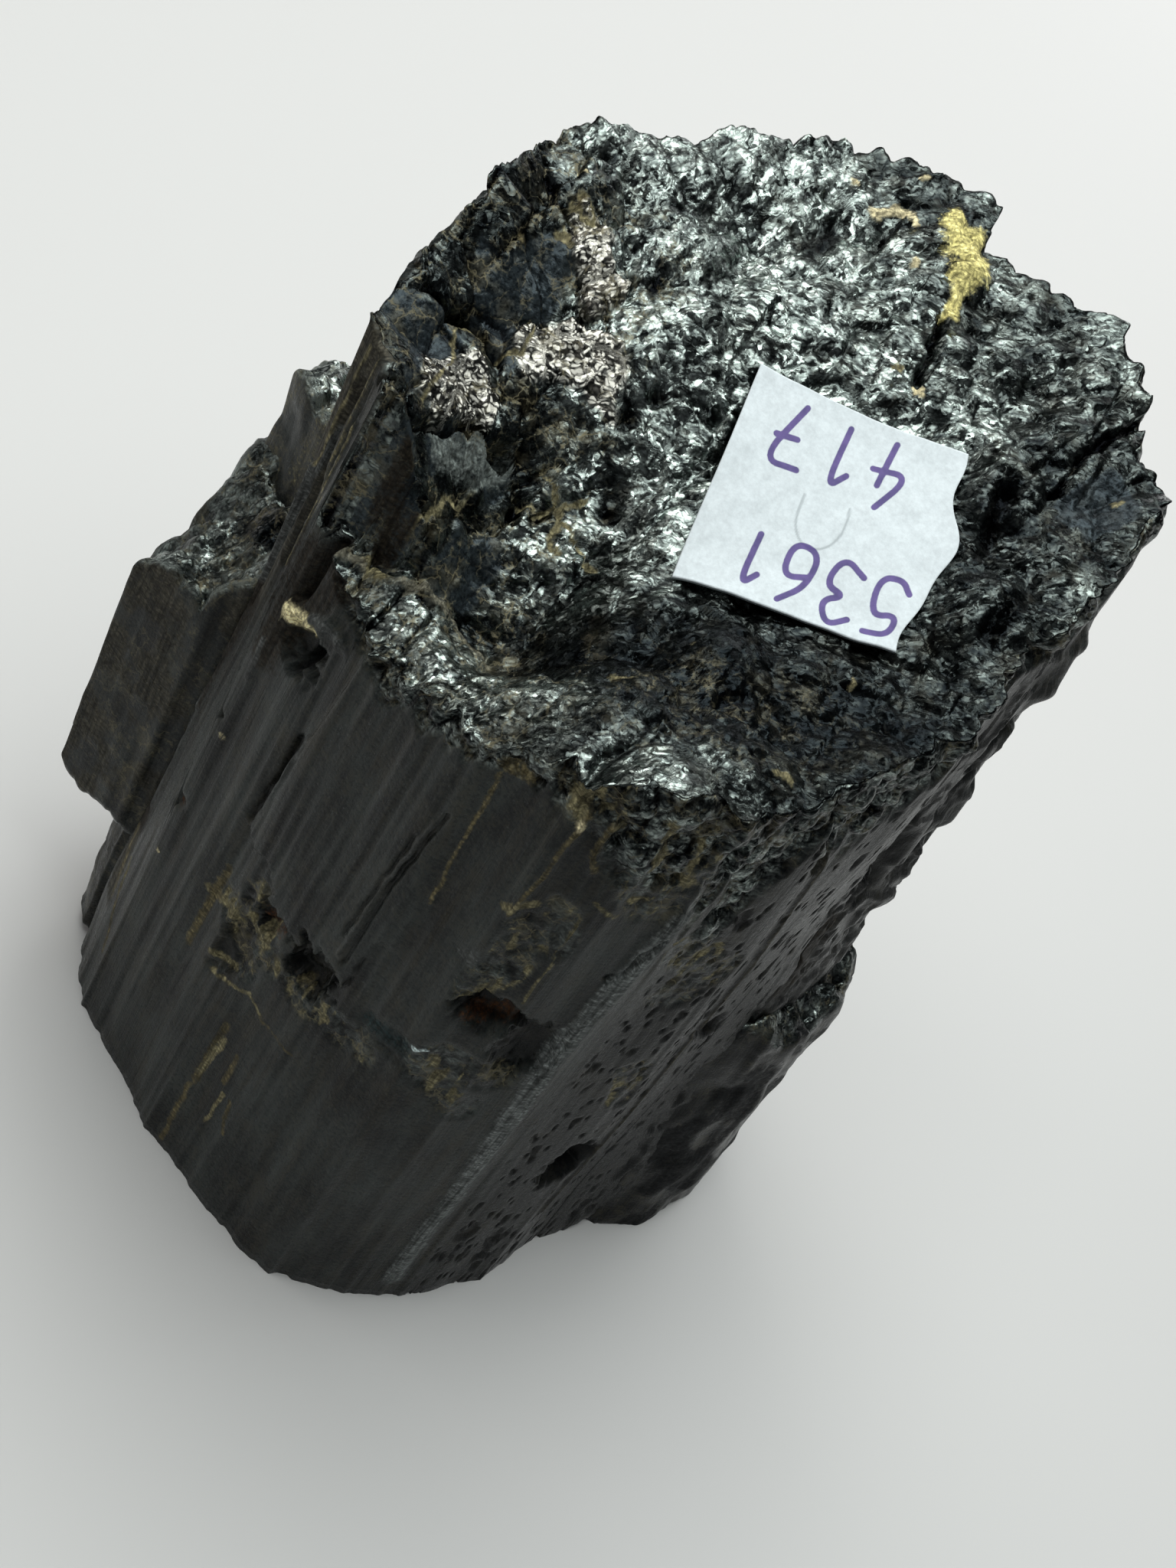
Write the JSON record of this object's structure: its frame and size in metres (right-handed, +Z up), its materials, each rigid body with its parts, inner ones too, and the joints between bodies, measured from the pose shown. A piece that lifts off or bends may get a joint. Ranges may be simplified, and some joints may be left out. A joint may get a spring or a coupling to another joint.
{
  "type": "tourmaline crystal",
  "caption": "Stout black tourmaline crystal standing on a flat base, with fluted walls, smaller crystals grown along its sides, a rough broken top and a small square paper label.",
  "frame": {"origin": "in the flat base, under the main crystal's axis", "axes": "+Z up the length of the crystal, -Y towards the broad fluted front wall, +X to the right"},
  "size_m": [0.0792, 0.0653, 0.105],
  "materials": {
    "tourmaline": "glassy black, finely fluted satin walls and a glittering hackly broken top, with rusty and ochre dirt in its pits",
    "label_paper": "matt white paper with purple pen strokes"
  },
  "bodies": {
    "root": {"crystal": "tourmaline", "paper_label": "label_paper"}
  },
  "joints": []
}
